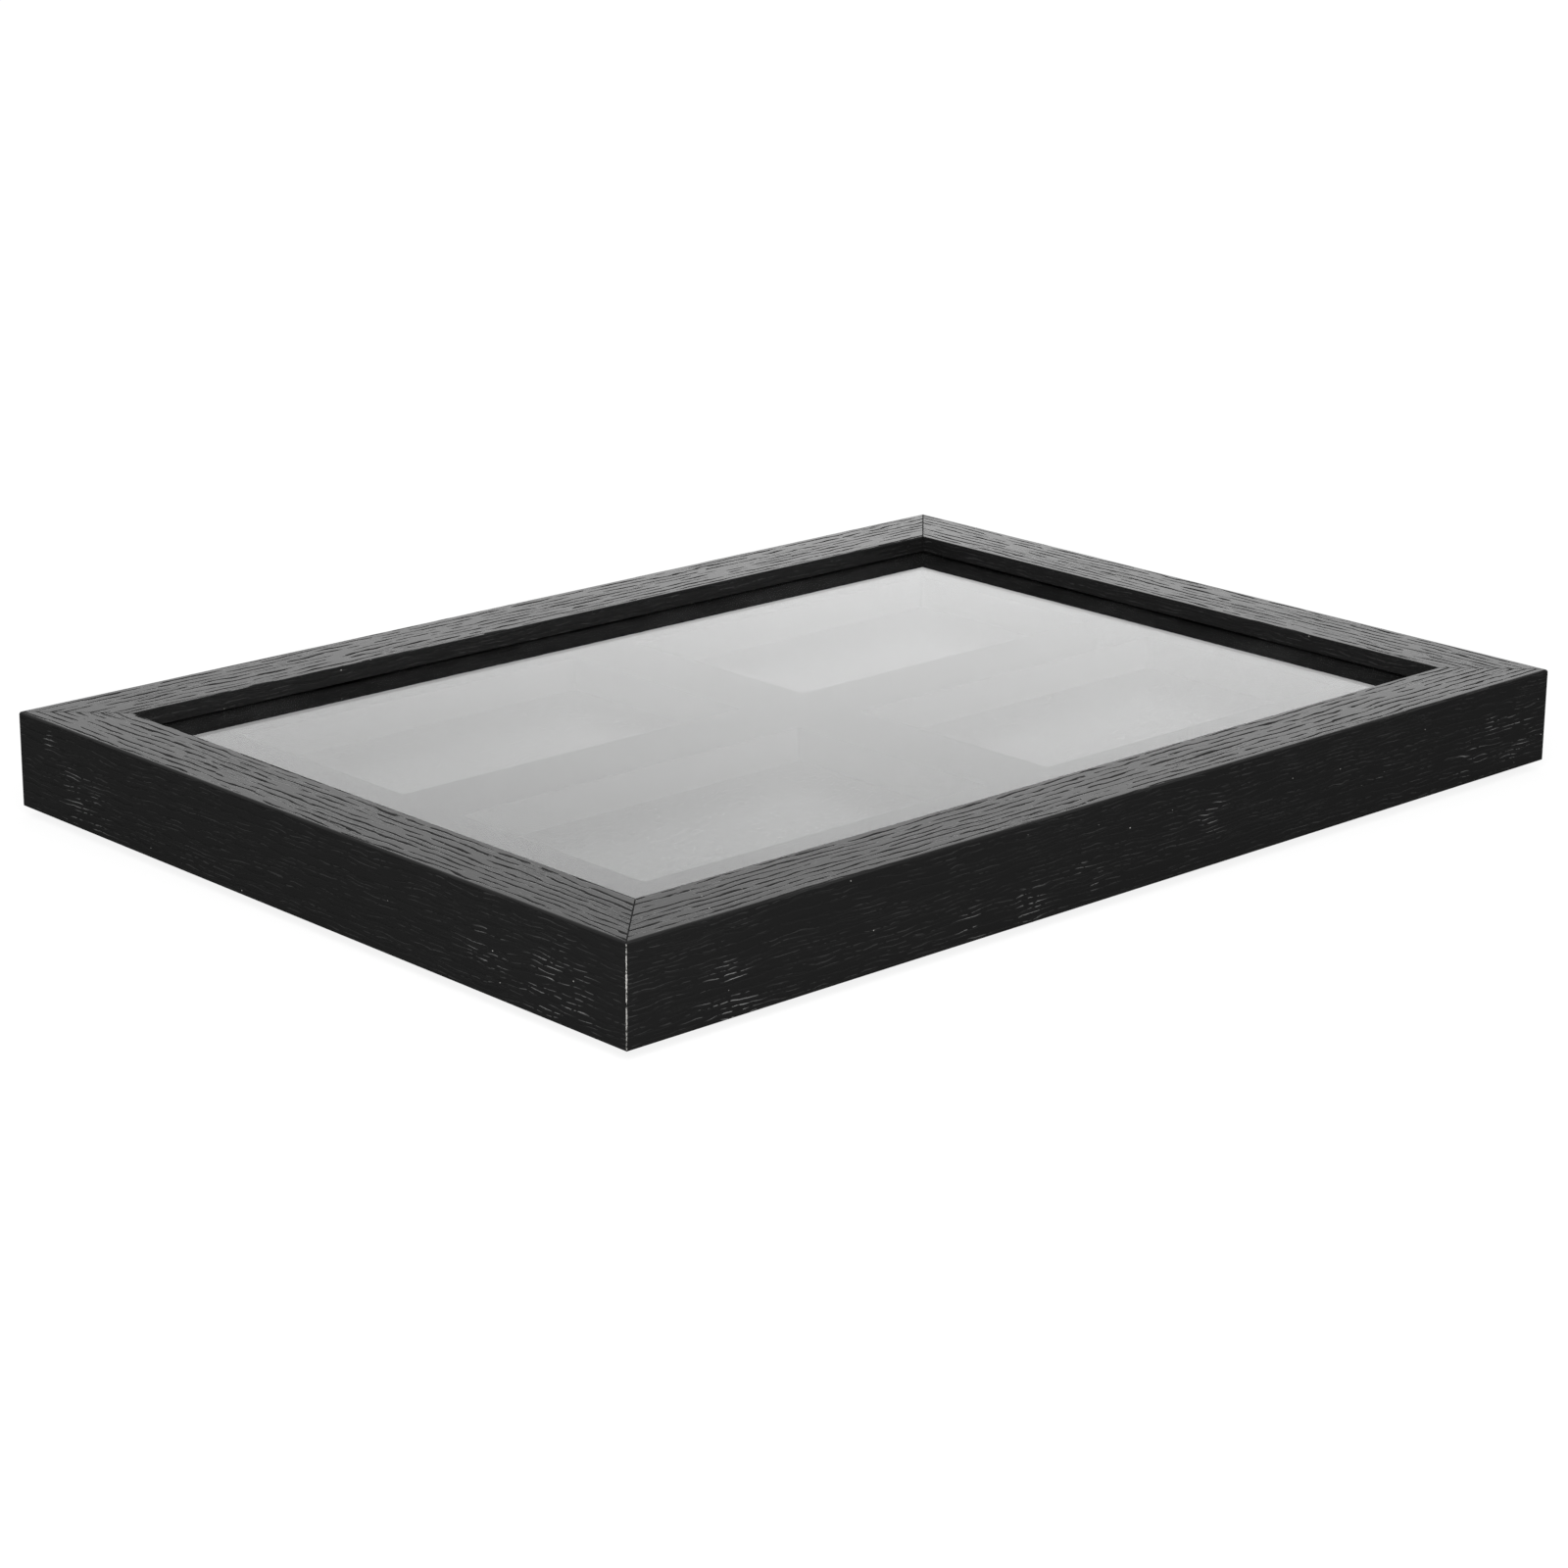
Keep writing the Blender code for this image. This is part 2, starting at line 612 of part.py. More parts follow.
def add_hangers(steel):
    """One hanger for landscape and one for portrait, teeth towards the middle of the frame."""
    mesh = hanger_mesh()
    for rail in HANGER_RAILS:
        quarter = RAIL_NAMES.index(rail)
        place = rail_point(quarter, 0, REAR_FLAT / 2, REAR_FACE - SEAT_GAP)
        name = "hanger_" + rail.removesuffix("_rail")
        place_part(name, mesh, steel, place, (quarter + 2) * math.pi / 2)

    profile = headed_profile(NAIL_SHANK_RADIUS, NAIL_LENGTH, NAIL_TIP_LENGTH,
                             NAIL_HEAD_RADIUS, NAIL_HEAD_HEIGHT, NAIL_HEAD_RIM)
    nail = turned_mesh("hanger_nail", profile, TURN_STEPS)
    head_drop = Vector((0, 0, HANGER_THICKNESS + 2 * SEAT_GAP))
    for number, (_, point) in enumerate(hanger_nail_places(), 1):
        place_part(f"hanger_nail_{number}", nail, steel, point - head_drop)


def add_bumpers(rubber):
    """Low round bumpers near the corners, flat underneath with a full round edge."""
    roll = BUMPER_RADIUS - BUMPER_FOOT_RADIUS
    edge = arc((BUMPER_FOOT_RADIUS, roll), roll, 0, -math.pi / 2, EDGE_ARC_STEPS)
    profile = [(0, BUMPER_HEIGHT), (BUMPER_RADIUS, BUMPER_HEIGHT), *edge, (0, 0)]
    mesh = turned_mesh("bumper", profile, BUMPER_TURN_STEPS)
    inset = REAR_FLAT - BUMPER_SETBACK - BUMPER_RADIUS
    number = 1
    for rail in ("bottom_rail", "top_rail"):
        quarter = RAIL_NAMES.index(rail)
        for side in (-1, 1):
            along = side * BUMPER_PLACE_SHARE * FRAME_LENGTH / 2
            place = rail_point(quarter, along, inset, 0)
            place_part(f"bumper_{number}", mesh, rubber, place)
            number += 1


clear_scene()
PARTS = new_collection("card_display_frame")
CUTTERS = new_collection("cutters")

zinc_plated_steel = make_material("zinc_plated_steel", "#B9BCC0", 0.32, metallic=1.0)
add_rails(make_material("black_stained_oak", "#1C1C1C", 0.5))
add_sheets(
    make_material("clear_acrylic", "#F4F6F6", 0.03, alpha=0.2),
    make_material("black_foam", "#141414", 0.95),
    make_material("brown_fibreboard", "#6E5138", 0.85))
add_pocket_liners(make_material("black_card", "#242424", 0.45))
add_turn_buttons(zinc_plated_steel)
add_screws(zinc_plated_steel)
add_corner_nails(zinc_plated_steel)
add_hangers(zinc_plated_steel)
add_bumpers(make_material("black_rubber", "#1A1A1A", 0.8))
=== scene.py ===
import json
import math

import bmesh
import bpy
from mathutils import Matrix, Vector


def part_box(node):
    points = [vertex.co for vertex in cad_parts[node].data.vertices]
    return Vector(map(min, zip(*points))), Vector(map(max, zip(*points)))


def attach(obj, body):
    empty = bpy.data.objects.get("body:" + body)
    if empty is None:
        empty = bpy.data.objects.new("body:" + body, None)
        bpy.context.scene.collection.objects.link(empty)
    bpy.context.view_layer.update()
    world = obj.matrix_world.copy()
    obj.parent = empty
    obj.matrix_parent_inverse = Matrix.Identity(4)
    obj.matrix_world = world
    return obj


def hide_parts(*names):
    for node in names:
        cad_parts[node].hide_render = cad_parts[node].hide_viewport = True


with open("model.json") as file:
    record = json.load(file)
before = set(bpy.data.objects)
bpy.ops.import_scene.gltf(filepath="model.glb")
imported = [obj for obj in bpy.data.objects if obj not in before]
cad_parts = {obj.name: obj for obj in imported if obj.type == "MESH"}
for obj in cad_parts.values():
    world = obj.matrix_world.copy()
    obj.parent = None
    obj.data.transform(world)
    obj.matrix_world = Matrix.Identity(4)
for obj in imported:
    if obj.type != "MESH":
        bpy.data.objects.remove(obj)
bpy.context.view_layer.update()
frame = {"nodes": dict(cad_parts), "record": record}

# Camera, from the corners of the frame in the photograph
PHOTO_PIXELS = 1600
FOCAL_PIXELS = 4147.13
SENSOR_WIDTH = 36.0
CAMERA_PLACE = (-0.87434, -0.92313, 0.39918)
CAMERA_PITCH = math.radians(17.3241)
CAMERA_HEADING = math.radians(43.2067)
CAMERA_ROLL = math.radians(0.4412)
CAMERA_CLIP_START = 0.01

# Floor: its paint, and how strongly it glows to the camera near the frame and far from it,
# where the lamps light it less, with the two distances in metres
FLOOR_SIZE = 8.0
FLOOR_PAINT = "#747474"
FLOOR_GLOW = 0.87
FLOOR_GLOW_AFAR = 0.96
FLOOR_NEAR = 0.4
FLOOR_AFAR = 1.2

# Light, with radiance 1 as white. The lamps don't show in mirrors. Those show the surroundings:
# a wall that glows most at the horizon and is plain white from WALL_HIGH up. Its level is
# tilted, so the glow stands higher on the right of the photograph's view, and it is weaker to
# both sides of that view.
WORLD_LIGHT = 0.5
LAMP_TARGET = (0.0, 0.0, 0.0)
OVERHEAD_PLACE = (0.1, -0.15, 1.7)
OVERHEAD_SIZE = (1.8, 1.4)
OVERHEAD_RADIANCE = 0.9
FRONT_PLACE = (-0.53, -0.53, 0.56)
FRONT_SIZE = (0.5, 0.5)
FRONT_RADIANCE = 5.9
WALL_GLOW = 2.77
WALL_LOW = 0.02
WALL_HIGH = 0.41
WALL_UPRIGHT = (-0.073, 0.068, 1.0)
WALL_SIDEWAYS = (0.729, -0.685, 0.0)
WALL_SIDE_SHARE = 0.4

# Mesh clean-up of the copied nodes
WELD_DISTANCE = 0.000002
FLAT_ANGLE = math.radians(0.2)
SHARP_ANGLE = math.radians(35)
EASING_SEGMENTS = 2

# Easing of the sharp edges, as each piece is cut, stamped or moulded
FOAM_EASING = 0.0005
SHEET_EASING = 0.0002
STAMPED_EASING = 0.00012

# Finishes are drawn in millimetres
MM_PER_METRE = 1000.0

# Oak: how far the fibres swing from straight over a length, both in millimetres
FIBRE_SWINGS = ((48.0, 3.2), (10.0, 1.5))

# Oak: spacing of the rows of pores, width and usual length of a pore, in millimetres. The
# real pores are about 0.3 mm wide and are drawn wider, so that they show from a step away.
COARSE_ROWS = (3.0, 0.92, 12.0)
FINE_ROWS = (1.3, 0.34, 6.0)
GLINT_AND_RUBBED_ROWS = (1.5, 0.26, 3.0)

# Oak: levels of the noise between which a row of pores closes, and the reach of a closed row,
# below 0 so that nothing of it shows
ROW_CLOSED_AT = 0.38
ROW_OPEN_AT = 0.52
CLOSED_REACH = -0.1

# Oak: fine rows show only in some patches, and at this share of their full darkness
FINE_ROWS_SHARE = 0.6

# Oak: dark line at a mitre, from full to none, in millimetres from the joint
MITRE_LINE_FULL = 0.22
MITRE_LINE_END = 0.40

# Oak: pale dashes, a painted highlight of pores catching light, show a little all over the outer
# faces, up to the rounded top edge
PORE_GLINT_SHARE = 0.14
PORE_GLINT_BELOW = 33.6
PORE_GLINT_END = 34.4

# Oak: reach of the wear from an upright corner edge in millimetres, at the near corner and
# away from it, and the distances over which it falls
WEAR_AT_CORNER = 0.46
WEAR_ELSEWHERE = 0.28
WEAR_NEAR = 2.0
WEAR_AFAR = 20.0

# Sizes of the patterns in the finishes, in millimetres, along the fibre and across it or the
# same all round. Foam cells, card fibres and rubber grain are drawn about twice as coarse as
# the real ones, so that they show.
OAK_STREAK = (26.0, 1.4, 1.4)
OAK_FINE_PATCH = (40.0, 7.0, 7.0)
OAK_GLINT_AND_RUBBED_PATCH = (12.0, 3.0, 3.0)
OAK_CHIP = 1.6
ACRYLIC_SMUDGE = 34.0
FOAM_CELL = 0.6
CARD_FIBRE = (1.2, 0.5, 0.5)
BOARD_STRAND = (2.4, 1.1, 1.1)
BOARD_NET = 1.6
ZINC_CLOUD = 3.0
ZINC_ROLLING_LINE = (6.0, 0.12, 0.12)
RUBBER_GRAIN = 0.25

# Spacing and radius of the dust specks, in millimetres
OAK_SPECKS = (7.5, 0.2)
ACRYLIC_SPECKS = (42.0, 0.35)

# Depths of the relief, in metres
PORE_DEPTH = 0.00004
FOAM_PIT_DEPTH = 0.00001
BOARD_NET_DEPTH = 0.0002
ZINC_LINE_DEPTH = 0.00001
RUBBER_GRAIN_DEPTH = 0.00003

# A Noise texture stays mostly between these levels
NOISE_LOW = 0.3
NOISE_HIGH = 0.7

# Outer top corner of the frame, the most handled place on the near corner, and the centres and
# radii of the spots where the pale dashes are strong, all in millimetres: partly stain rubbed thin
# by handling, partly painted highlight of pores catching light.
# The last two spots are on faces that the photograph doesn't show.
OUTER_CORNER = (203.0, 147.2, 34.7)
FRONT_CORNER = (-203.0, -147.2, 20.0)
RUBBED_AND_GLINTING_SPOTS = (
    ((-203.0, -119.0, 12.0), 20.0),
    ((-203.0, -88.0, 17.0), 11.0),
    ((-203.0, 116.0, 15.5), 10.0),
    ((-203.0, 112.0, 7.5), 16.0),
    ((-203.0, 132.0, 29.0), 5.0),
    ((-165.0, -147.2, 15.4), 9.0),
    ((-166.0, -147.2, 7.7), 15.0),
    ((-70.0, -147.2, 8.7), 8.0),
    ((-45.0, -147.2, 10.0), 8.0),
    ((-20.0, -147.2, 13.0), 8.0),
    ((35.0, -147.2, 20.0), 8.0),
    ((118.0, -147.2, 15.0), 7.0),
    ((164.0, -147.2, 9.0), 11.0),
    ((174.0, -147.2, 22.0), 5.0),
    ((188.0, -147.2, 14.5), 12.0),
    ((203.0, 60.0, 14.0), 20.0),
    ((-110.0, 147.2, 20.0), 16.0),
)

# A Wave texture of scale 1 has this many radians to a unit
WAVE_RADIANS = 20.0

# Mitres: how far the CAD leaves them open, in all and along one rail, and the small groove
# that shows where they meet, on the lip and on the outer face
MITRE_GAP = 0.0003
MITRE_GAP_ALONG = MITRE_GAP / math.sqrt(2)
MITRE_TOLERANCE = 0.000005
MITRE_GROOVE = 0.00015
LIP_THICKNESS = 0.0057


def linear(hex_colour):
    """Linear RGBA of an sRGB hex colour."""
    channels = [int(hex_colour[start:start + 2], 16) / 255 for start in (1, 3, 5)]
    light = [c / 12.92 if c <= 0.04045 else ((c + 0.055) / 1.055) ** 2.4 for c in channels]
    return (*light, 1.0)


def add_node(tree, kind, inputs, output=0, **settings):
    """Add a node with its settings; an input is a value or the output that feeds it."""
    node = tree.nodes.new("ShaderNode" + kind)
    for name, value in settings.items():
        setattr(node, name, value)
    for socket, source in inputs.items():
        if isinstance(source, bpy.types.NodeSocket):
            tree.links.new(source, node.inputs[socket])
        else:
            node.inputs[socket].default_value = source
    return None if output is None else node.outputs[output]


def new_finish(name, constants):
    """Material with one Principled shader; returns it, its tree, its shader and millimetres."""
    material = bpy.data.materials.new(name)
    material.use_nodes = True
    tree = material.node_tree
    shader = tree.nodes["Principled BSDF"]
    for socket, value in constants.items():
        shader.inputs[socket].default_value = value
    place = add_node(tree, "TexCoord", {}, "Object")
    millimetres = add_node(tree, "VectorMath", {0: place, "Scale": MM_PER_METRE}, operation="SCALE")
    return material, tree, shader, millimetres


def wandering_fibre(tree, place, turn):
    """Coordinates along the fibres of a rail: x along it, y and z across, never quite straight."""
    rail = add_node(tree, "VectorRotate", {"Vector": place, "Angle": turn}, rotation_type="Z_AXIS")
    fibre = rail
    for length, swing in FIBRE_SWINGS:
        lump = (length, length / 3, length / 3)
        stretch = add_node(tree, "VectorMath", {0: rail, 1: lump}, operation="DIVIDE")
        drift = add_node(tree, "TexNoise", {
            "Vector": stretch, "Scale": 1.0, "Detail": 1.0}, "Color")
        fibre = add_node(tree, "VectorMath", {0: drift, 1: (0.0, swing, swing), 2: fibre},
                         operation="MULTIPLY_ADD")
    return fibre


def pore_rows(tree, fibre, spacing, width, length):
    """Open pores in rows that top and side faces both cut, each row broken into dashes."""
    depth_in_rings = add_node(tree, "VectorMath", {0: fibre, 1: (0.0, 1.0, 1.0)}, "Value",
                              operation="DOT_PRODUCT")
    from_row = add_node(tree, "Math", {0: depth_in_rings, 1: spacing / 2}, operation="PINGPONG")
    stretch = add_node(tree, "VectorMath", {0: fibre, 1: (length, spacing / 2, spacing / 2)},
                       operation="DIVIDE")
    breaks = add_node(tree, "TexNoise", {"Vector": stretch, "Scale": 1.0, "Detail": 2.5})
    reach = add_node(tree, "MapRange", {
        "Value": breaks, "From Min": ROW_CLOSED_AT, "From Max": ROW_OPEN_AT,
        "To Min": CLOSED_REACH, "To Max": width / 2}, interpolation_type="SMOOTHSTEP")
    past_edge = add_node(tree, "Math", {0: from_row, 1: reach}, operation="SUBTRACT")
    return add_node(tree, "MapRange", {
        "Value": past_edge, "From Min": -width / 8, "From Max": width / 8,
        "To Min": 1.0, "To Max": 0.0}, interpolation_type="SMOOTHSTEP")


def rubbed_and_glinting_dashes(tree, place, fibre):
    """Short pale dashes on the sides: painted highlight of pores catching light, faint all over,
    strong at the spots where handling has also rubbed the stain thin.
    """
    height = add_node(tree, "SeparateXYZ", {0: place}, "Z")
    # Painted highlight: pores catching light show as faint pale dashes all over the outer faces
    rubbed_and_glinting = add_node(tree, "MapRange", {
        "Value": height, "From Min": PORE_GLINT_BELOW, "From Max": PORE_GLINT_END,
        "To Min": PORE_GLINT_SHARE, "To Max": 0.0})
    for centre, radius in RUBBED_AND_GLINTING_SPOTS:
        distance = add_node(tree, "VectorMath", {0: place, 1: centre}, "Value",
                            operation="DISTANCE")
        spot = add_node(tree, "MapRange", {
            "Value": distance, "From Min": 0.4 * radius, "From Max": radius,
            "To Min": 1.0, "To Max": 0.0})
        rubbed_and_glinting = add_node(tree, "Math", {0: rubbed_and_glinting, 1: spot}, operation="MAXIMUM")
    dashes = pore_rows(tree, fibre, *GLINT_AND_RUBBED_ROWS)
    patches = add_node(tree, "VectorMath", {0: fibre, 1: OAK_GLINT_AND_RUBBED_PATCH}, operation="DIVIDE")
    patchy = add_node(tree, "TexNoise", {"Vector": patches, "Scale": 1.0, "Detail": 1.0})
    kept = add_node(tree, "MapRange", {"Value": patchy, "From Min": 0.44, "From Max": 0.60})
    kept_dashes = add_node(tree, "Math", {0: dashes, 1: kept}, operation="MULTIPLY")
    return add_node(tree, "Math", {0: kept_dashes, 1: rubbed_and_glinting}, operation="MULTIPLY")


def corner_wear(tree, place, inset):
    """Thin broken line where the stain is gone from the upright corners, most at the near one."""
    inset_parts = add_node(tree, "SeparateXYZ", {0: inset}).node.outputs
    from_edge = add_node(tree, "Math", {0: inset_parts["X"], 1: inset_parts["Y"]}, operation="ADD")
    lump = add_node(tree, "VectorMath", {0: place, "Scale": 1 / OAK_CHIP}, operation="SCALE")
    ragged = add_node(tree, "TexNoise", {
        "Vector": lump, "Scale": 1.0, "Detail": 4.0, "Roughness": 0.85})
    chips = add_node(tree, "MapRange", {"Value": ragged, "From Min": 0.31, "From Max": 0.72})
    from_front = add_node(tree, "VectorMath", {0: place, 1: FRONT_CORNER}, "Value",
                          operation="DISTANCE")
    handled = add_node(tree, "MapRange", {
        "Value": from_front, "From Min": WEAR_NEAR, "From Max": WEAR_AFAR,
        "To Min": WEAR_AT_CORNER, "To Max": WEAR_ELSEWHERE})
    reach = add_node(tree, "Math", {0: chips, 1: handled}, operation="MULTIPLY")
    past_edge = add_node(tree, "Math", {0: from_edge, 1: reach}, operation="SUBTRACT")
    return add_node(tree, "MapRange", {
        "Value": past_edge, "From Min": -0.02, "From Max": 0.06, "To Min": 1.0, "To Max": 0.0})


def mitre_line(tree, inset):
    """Thin line where two rails meet: the joint is open by a hair there, and looks dark."""
    inset_parts = add_node(tree, "SeparateXYZ", {0: inset}).node.outputs
    difference = add_node(tree, "Math", {0: inset_parts["X"], 1: inset_parts["Y"]},
                          operation="SUBTRACT")
    from_joint = add_node(tree, "Math", {0: difference}, operation="ABSOLUTE")
    return add_node(tree, "MapRange", {
        "Value": from_joint, "From Min": MITRE_LINE_FULL, "From Max": MITRE_LINE_END,
        "To Min": 1.0, "To Max": 0.0})


def dust_specks(tree, place, spacing, radius):
    """Scattered round specks, their spacing and radius in millimetres."""
    cell = add_node(tree, "VectorMath", {0: place, "Scale": 1 / spacing}, operation="SCALE")
    from_middle = add_node(tree, "TexVoronoi", {"Vector": cell, "Scale": 1.0})
    return add_node(tree, "MapRange", {
        "Value": from_middle, "From Min": 0.7 * radius / spacing, "From Max": radius / spacing,
        "To Min": 1.0, "To Max": 0.0})


def black_stained_oak(name, turn):
    """Open-pore oak under a thin black stain: satin on the wood, dull in the pores.

    The pores are long dashes in rows, dark on the tops of the rails, which shine. Short pale
    dashes on the outer faces are a painted highlight of pores catching light, strongest at spots
    where the stain is rubbed thin, and along the upright corner edges a thin line of stain is gone.
    The grain turns by the given angle to follow the rail.
    """
    material, tree, shader, place = new_finish(name, {
        "IOR": 1.5, "Specular IOR Level": 0.137, "Metallic": 0.0})
    fibre = wandering_fibre(tree, place, turn)
    size = add_node(tree, "VectorMath", {0: place}, operation="ABSOLUTE")
    inset = add_node(tree, "VectorMath", {0: OUTER_CORNER, 1: size}, operation="SUBTRACT")
    joint = mitre_line(tree, inset)
    rows = pore_rows(tree, fibre, *COARSE_ROWS)
    fine_rows = pore_rows(tree, fibre, *FINE_ROWS)
    patch = add_node(tree, "VectorMath", {0: fibre, 1: OAK_FINE_PATCH}, operation="DIVIDE")
    patchy = add_node(tree, "TexNoise", {"Vector": patch, "Scale": 1.0, "Detail": 1.0})
    faintness = add_node(tree, "MapRange", {
        "Value": patchy, "From Min": 0.5, "From Max": 0.65,
        "To Min": 0.0, "To Max": FINE_ROWS_SHARE})
    faint_rows = add_node(tree, "Math", {0: fine_rows, 1: faintness}, operation="MULTIPLY")
    all_rows = add_node(tree, "Math", {0: rows, 1: faint_rows}, operation="MAXIMUM")
    pores = add_node(tree, "Math", {0: all_rows, 1: joint}, operation="MAXIMUM")
    dashes = rubbed_and_glinting_dashes(tree, place, fibre)
    wear = corner_wear(tree, place, inset)
    specks = dust_specks(tree, place, *OAK_SPECKS)
    bare = add_node(tree, "Math", {0: wear, 1: specks}, operation="MAXIMUM")

    stretch = add_node(tree, "VectorMath", {0: fibre, 1: OAK_STREAK}, operation="DIVIDE")
    streaks = add_node(tree, "TexNoise", {"Vector": stretch, "Scale": 1.0, "Detail": 3.0})
    stain = add_node(tree, "Mix", {
        "Factor": streaks, "A": linear("#1F1F1F"), "B": linear("#232323")}, "Result",
        data_type="RGBA")
    stained = add_node(tree, "Mix", {"Factor": pores, "A": stain, "B": linear("#212121")},
                       "Result", data_type="RGBA")
    # Pale dashes: painted highlight of pores catching light, and at the spots also stain rubbed
    # thin
    rubbed_and_glinting = add_node(tree, "Mix", {"Factor": dashes, "A": stained, "B": linear("#8C8C8C")},
                      "Result", data_type="RGBA")
    colour = add_node(tree, "Mix", {"Factor": bare, "A": rubbed_and_glinting, "B": linear("#DCDAD6")},
                      "Result", data_type="RGBA")
    tree.links.new(colour, shader.inputs["Base Color"])

    satin = add_node(tree, "MapRange", {
        "Value": streaks, "From Min": NOISE_LOW, "From Max": NOISE_HIGH,
        "To Min": 0.10, "To Max": 0.14})
    dull = add_node(tree, "Math", {0: pores, 1: bare}, operation="MAXIMUM")
    roughness = add_node(tree, "Mix", {"Factor": dull, "A": satin, "B": 0.95}, "Result",
                         data_type="FLOAT")
    tree.links.new(roughness, shader.inputs["Roughness"])

    height = add_node(tree, "Math", {0: streaks, 1: 0.2}, operation="MULTIPLY")
    sunk = add_node(tree, "Math", {0: height, 1: pores}, operation="SUBTRACT")
    relief = add_node(tree, "Bump", {"Height": sunk, "Distance": PORE_DEPTH, "Strength": 1.0})
    tree.links.new(relief, shader.inputs["Normal"])
    return material


def clear_acrylic():
    """Cast acrylic, clear and glossy, with a faint uneven haze and a few specks of dust."""
    material, tree, shader, place = new_finish("clear_acrylic", {
        "Base Color": linear("#F6F7F7"), "IOR": 1.49, "Roughness": 0.01})
    patch = add_node(tree, "VectorMath", {0: place, "Scale": 1 / ACRYLIC_SMUDGE}, operation="SCALE")
    smudges = add_node(tree, "TexNoise", {"Vector": patch, "Scale": 1.0, "Detail": 4.0})
    haze = add_node(tree, "MapRange", {
        "Value": smudges, "From Min": 0.35, "From Max": 0.75, "To Min": 0.0, "To Max": 0.012})
    specks = dust_specks(tree, place, *ACRYLIC_SPECKS)
    clouded = add_node(tree, "Math", {0: haze, 1: specks}, operation="MAXIMUM")
    clearness = add_node(tree, "Math", {0: 1.0, 1: clouded}, operation="SUBTRACT")
    tree.links.new(clearness, shader.inputs["Transmission Weight"])
    return material


def black_foam():
    """Closed-cell foam: a dull black skin, and greyer open cells where the die cut it.

    The long cut walls are painted lighter than the short ones: painted light and shade, as the
    light falls on the long walls more than on the short ones.
    """
    material, tree, shader, place = new_finish("black_foam", {
        "IOR": 1.5, "Specular IOR Level": 0.05})
    cell = add_node(tree, "VectorMath", {0: place, "Scale": 1 / FOAM_CELL}, operation="SCALE")
    pits = add_node(tree, "TexVoronoi", {"Vector": cell, "Scale": 1.0})
    normal = add_node(tree, "NewGeometry", {}, "Normal")
    facing = add_node(tree, "VectorMath", {0: normal}, operation="ABSOLUTE")
    facing_parts = add_node(tree, "SeparateXYZ", {0: facing}).node.outputs
    skin = add_node(tree, "MapRange", {
        "Value": facing_parts["Z"], "From Min": 0.3, "From Max": 0.8})
    skin_colour = add_node(tree, "Mix", {
        "Factor": pits, "A": linear("#0A0A0A"), "B": linear("#101010")}, "Result", data_type="RGBA")
    # Painted light and shade: long cut walls get a lighter grey than the short cut walls, which
    # face sideways
    long_cut_with_painted_light = add_node(tree, "Mix", {
        "Factor": pits, "A": linear("#626262"), "B": linear("#767676")}, "Result", data_type="RGBA")
    cut_with_painted_light_and_shade = add_node(tree, "Mix", {
        "Factor": facing_parts["X"], "A": long_cut_with_painted_light, "B": linear("#3E3E3E")}, "Result",
        data_type="RGBA")
    colour = add_node(tree, "Mix", {"Factor": skin, "A": cut_with_painted_light_and_shade, "B": skin_colour}, "Result",
                      data_type="RGBA")
    tree.links.new(colour, shader.inputs["Base Color"])
    roughness = add_node(tree, "MapRange", {"Value": pits, "To Min": 0.88, "To Max": 1.0})
    tree.links.new(roughness, shader.inputs["Roughness"])
    relief = add_node(tree, "Bump", {
        "Height": pits, "Distance": FOAM_PIT_DEPTH, "Strength": 0.5})
    tree.links.new(relief, shader.inputs["Normal"])
    return material


def black_card():
    """Calendered black card: smoother than the foam, so it mirrors light at a low angle."""
    material, tree, shader, place = new_finish("black_card", {
        "IOR": 1.5, "Specular IOR Level": 0.3})
    fibre = add_node(tree, "VectorMath", {0: place, 1: CARD_FIBRE}, operation="DIVIDE")
    felt = add_node(tree, "TexNoise", {"Vector": fibre, "Scale": 1.0, "Detail": 4.0})
    colour = add_node(tree, "Mix", {
        "Factor": felt, "A": linear("#161616"), "B": linear("#202020")}, "Result", data_type="RGBA")
    tree.links.new(colour, shader.inputs["Base Color"])
    roughness = add_node(tree, "MapRange", {
        "Value": felt, "From Min": NOISE_LOW, "From Max": NOISE_HIGH,
        "To Min": 0.26, "To Max": 0.34})
    tree.links.new(roughness, shader.inputs["Roughness"])
    return material


def brown_fibreboard():
    """Hardboard with its screened side out: brown fibres under the print of a fine net."""
    material, tree, shader, place = new_finish("brown_fibreboard", {"IOR": 1.5})
    strand = add_node(tree, "VectorMath", {0: place, 1: BOARD_STRAND}, operation="DIVIDE")
    fibres = add_node(tree, "TexNoise", {
        "Vector": strand, "Scale": 1.0, "Detail": 6.0, "Roughness": 0.7})
    contrast = add_node(tree, "MapRange", {
        "Value": fibres, "From Min": NOISE_LOW, "From Max": NOISE_HIGH})
    colour = add_node(tree, "Mix", {
        "Factor": contrast, "A": linear("#543C28"), "B": linear("#80634A")}, "Result",
        data_type="RGBA")
    tree.links.new(colour, shader.inputs["Base Color"])
    squares = add_node(tree, "VectorMath", {0: place, "Scale": 1 / BOARD_NET}, operation="SCALE")
    net = 1.0
    for direction in ("X", "Y"):
        wires = add_node(tree, "TexWave", {
            "Vector": squares, "Scale": math.tau / WAVE_RADIANS, "Distortion": 0.4},
            bands_direction=direction)
        net = add_node(tree, "Math", {0: net, 1: wires}, operation="MULTIPLY")
    screened = add_node(tree, "Math", {0: net, 1: fibres}, operation="ADD")
    relief = add_node(tree, "Bump", {
        "Height": screened, "Distance": BOARD_NET_DEPTH, "Strength": 1.0})
    tree.links.new(relief, shader.inputs["Normal"])
    roughness = add_node(tree, "MapRange", {"Value": contrast, "To Min": 0.75, "To Max": 0.9})
    tree.links.new(roughness, shader.inputs["Roughness"])
    return material


